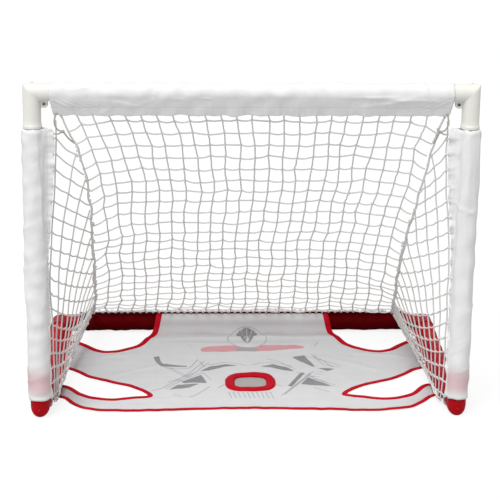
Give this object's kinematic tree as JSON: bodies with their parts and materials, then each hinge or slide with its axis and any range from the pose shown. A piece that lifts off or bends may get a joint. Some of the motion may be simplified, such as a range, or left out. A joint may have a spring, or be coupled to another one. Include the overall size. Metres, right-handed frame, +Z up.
{
  "type": "hockey goal",
  "caption": "Free-standing tube-frame ball hockey goal with cloth sleeves, sloping knotted net and a hinged cloth shooting target in its mouth.",
  "frame": {"origin": "on the floor, at the centre of the goal's footprint", "axes": "+X across the mouth, to the right as the shooter sees it; -Y out of the mouth; +Z up"},
  "size_m": [1.232, 0.7196, 0.955],
  "materials": {
    "white_fitting": "moulded ivory plastic, satin",
    "red_fitting": "moulded red plastic, satin",
    "tube": "extruded white tube",
    "white_nylon": "woven nylon with creases",
    "red_nylon": "woven nylon with creases",
    "netting": "knotted white twine",
    "cord": "braided white cord",
    "target_cloth": "printed polyester sheet",
    "red_tape": "folded binding tape",
    "spring_steel": "spring strip",
    "white_button": "moulded, satin",
    "red_button": "moulded, satin"
  },
  "bodies": {
    "frame": {"crossbar_tube": "tube", "left_post_tube": "tube", "right_post_tube": "tube", "left_rail_tube": "tube", "right_rail_tube": "tube", "rear_bar_tube": "tube", "left_top_elbow": "white_fitting", "right_top_elbow": "white_fitting", "left_foot_elbow": "red_fitting", "right_foot_elbow": "red_fitting", "left_rear_elbow": "red_fitting", "right_rear_elbow": "red_fitting", "crossbar_sleeve": "white_nylon", "left_post_sleeve": "white_nylon", "right_post_sleeve": "white_nylon", "left_rail_sleeve": "red_nylon", "right_rail_sleeve": "red_nylon", "rear_bar_sleeve": "red_nylon", "net_back": "netting", "net_left": "netting", "net_right": "netting", "left_rail_rope": "cord", "right_rail_rope": "cord", "rear_rope": "cord", "left_foot_tie": "cord", "right_foot_tie": "cord", "left_corner_tie": "cord", "right_corner_tie": "cord"},
    "target": {"target_panel": "target_cloth", "target_top_band": "target_cloth", "target_front_binding": "red_tape", "target_left_notch_binding": "red_tape", "target_right_notch_binding": "red_tape", "target_left_corner_binding": "red_tape", "target_right_corner_binding": "red_tape", "target_centre_binding": "red_tape"},
    "left_crossbar_clip": {"left_crossbar_button": "white_button", "left_crossbar_spring": "spring_steel"},
    "right_crossbar_clip": {"right_crossbar_button": "white_button", "right_crossbar_spring": "spring_steel"},
    "left_foot_clip": {"left_foot_button": "red_button", "left_foot_spring": "spring_steel"},
    "right_foot_clip": {"right_foot_button": "red_button", "right_foot_spring": "spring_steel"}
  },
  "joints": [
    {"name": "target_lift", "type": "hinge", "parent": "frame", "child": "target", "pos_m": [0, -0.3143, 0.0035], "axis": [1, 0, 0], "range_deg": [0, 90], "deforming": ["target_panel", "target_top_band", "target_left_corner_binding", "target_right_corner_binding", "target_left_notch_binding", "target_right_notch_binding", "target_front_binding", "target_centre_binding"]},
    {"name": "left_crossbar_press", "type": "slide", "parent": "frame", "child": "left_crossbar_clip", "axis": [0, 0, -1], "range_m": [0, 0.005], "stiffness_N_per_m": 1200},
    {"name": "right_crossbar_press", "type": "slide", "parent": "frame", "child": "right_crossbar_clip", "axis": [0, 0, -1], "range_m": [0, 0.005], "stiffness_N_per_m": 1200},
    {"name": "left_foot_press", "type": "slide", "parent": "frame", "child": "left_foot_clip", "axis": [0, 1, 0], "range_m": [0, 0.005], "stiffness_N_per_m": 1200},
    {"name": "right_foot_press", "type": "slide", "parent": "frame", "child": "right_foot_clip", "axis": [0, 1, 0], "range_m": [0, 0.005], "stiffness_N_per_m": 1200}
  ]
}
